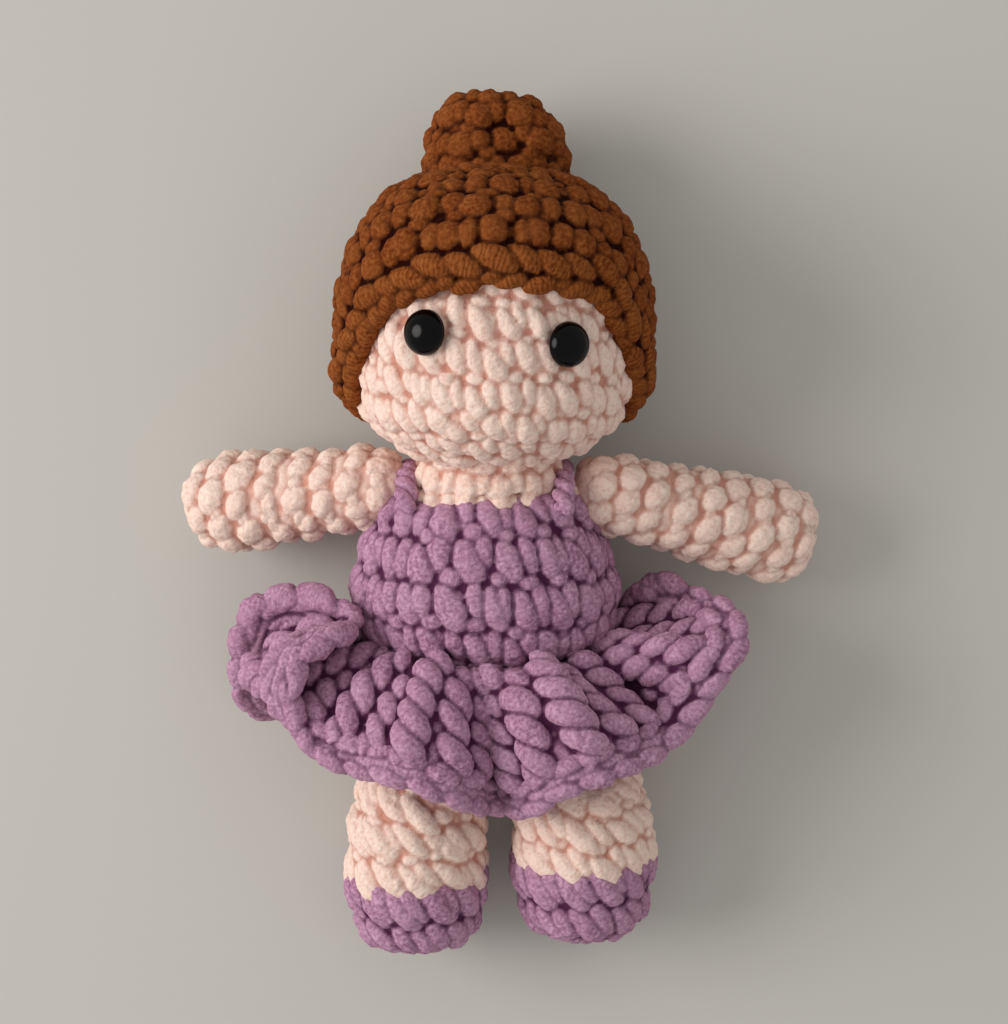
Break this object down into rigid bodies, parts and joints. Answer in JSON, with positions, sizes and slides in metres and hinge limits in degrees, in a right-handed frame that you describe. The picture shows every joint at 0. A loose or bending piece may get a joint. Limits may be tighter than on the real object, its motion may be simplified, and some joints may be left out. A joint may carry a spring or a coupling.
{
  "type": "crochet ballerina doll",
  "caption": "Crocheted chenille ballerina doll lying on its back, with hair bun, ruffled purple skirt and soft limbs that pose.",
  "frame": {"origin": "Centre of the flat on the doll's back that it lies on, at the belly's widest part.", "axes": "+Z is the doll's front and points up as it lies on its back, +Y runs from the feet to the head, +X to the right of a viewer who looks down on it with its head up."},
  "size_m": [0.1784, 0.244, 0.0858],
  "materials": {
    "skin_yarn": "velvety chenille yarn, crocheted",
    "purple_yarn": "velvety chenille yarn, crocheted",
    "brown_yarn": "velvety chenille yarn, crocheted",
    "stuffing": "loose polyester fibre filling",
    "eye_plastic": "moulded, polished black",
    "washer_plastic": "moulded, as it left the tool"
  },
  "bodies": {
    "torso": {"bodice": "purple_yarn", "yoke": "skin_yarn", "strap_left": "purple_yarn", "strap_right": "purple_yarn", "body_stuffing": "stuffing", "skirt": "purple_yarn", "skirt_hem": "purple_yarn"},
    "neck": {"neck": "skin_yarn"},
    "head": {"head": "skin_yarn", "head_stuffing": "stuffing", "hair_cap": "brown_yarn", "hair_bun": "brown_yarn", "bun_stuffing": "stuffing", "eye_left": "eye_plastic", "eye_right": "eye_plastic", "eye_washer_left": "washer_plastic", "eye_washer_right": "washer_plastic"},
    "shoulder_left": {"arm_stitch_left": "skin_yarn"},
    "arm_left": {"arm_left": "skin_yarn", "arm_stuffing_left": "stuffing"},
    "shoulder_right": {"arm_stitch_right": "skin_yarn"},
    "arm_right": {"arm_right": "skin_yarn", "arm_stuffing_right": "stuffing"},
    "hip_left": {"leg_stitch_left": "skin_yarn"},
    "leg_left": {"leg_left": "skin_yarn", "shoe_left": "purple_yarn", "leg_stuffing_left": "stuffing"},
    "hip_right": {"leg_stitch_right": "skin_yarn"},
    "leg_right": {"leg_right": "skin_yarn", "shoe_right": "purple_yarn", "leg_stuffing_right": "stuffing"}
  },
  "joints": [
    {"name": "head_turn", "type": "hinge", "parent": "torso", "child": "neck", "pos_m": [-0.002, 0.03154, 0.03517], "axis": [0, 0.9763, 0.2164], "range_deg": [-30, 30]},
    {"name": "head_nod", "type": "hinge", "parent": "neck", "child": "head", "pos_m": [-0.002, 0.03154, 0.03517], "axis": [1, 0, 0], "range_deg": [0, 8]},
    {"name": "arm_left_raise", "type": "hinge", "parent": "torso", "child": "shoulder_left", "pos_m": [-0.0346, 0.0256, 0.0325], "axis": [0, 0, -1], "range_deg": [-15, 12]},
    {"name": "arm_left_swing", "type": "hinge", "parent": "shoulder_left", "child": "arm_left", "pos_m": [-0.0346, 0.0256, 0.0325], "axis": [0, 1, 0], "range_deg": [0, 70]},
    {"name": "arm_right_raise", "type": "hinge", "parent": "torso", "child": "shoulder_right", "pos_m": [0.0314, 0.024, 0.0325], "axis": [0, 0, 1], "range_deg": [-4, 25]},
    {"name": "arm_right_swing", "type": "hinge", "parent": "shoulder_right", "child": "arm_right", "pos_m": [0.0314, 0.024, 0.0325], "axis": [0, -1, 0], "range_deg": [0, 70]},
    {"name": "leg_left_lift", "type": "hinge", "parent": "torso", "child": "hip_left", "pos_m": [-0.0224, -0.049, 0.0305], "axis": [-1, 0, 0], "range_deg": [0, 75], "deforming": ["skirt", "skirt_hem"]},
    {"name": "leg_left_spread", "type": "hinge", "parent": "hip_left", "child": "leg_left", "pos_m": [-0.0224, -0.049, 0.0305], "axis": [0, 0, -1], "range_deg": [0, 20]},
    {"name": "leg_right_lift", "type": "hinge", "parent": "torso", "child": "hip_right", "pos_m": [0.024, -0.049, 0.0305], "axis": [-1, 0, 0], "range_deg": [0, 75], "deforming": ["skirt", "skirt_hem"]},
    {"name": "leg_right_spread", "type": "hinge", "parent": "hip_right", "child": "leg_right", "pos_m": [0.024, -0.049, 0.0305], "axis": [0, 0, 1], "range_deg": [0, 20]}
  ]
}
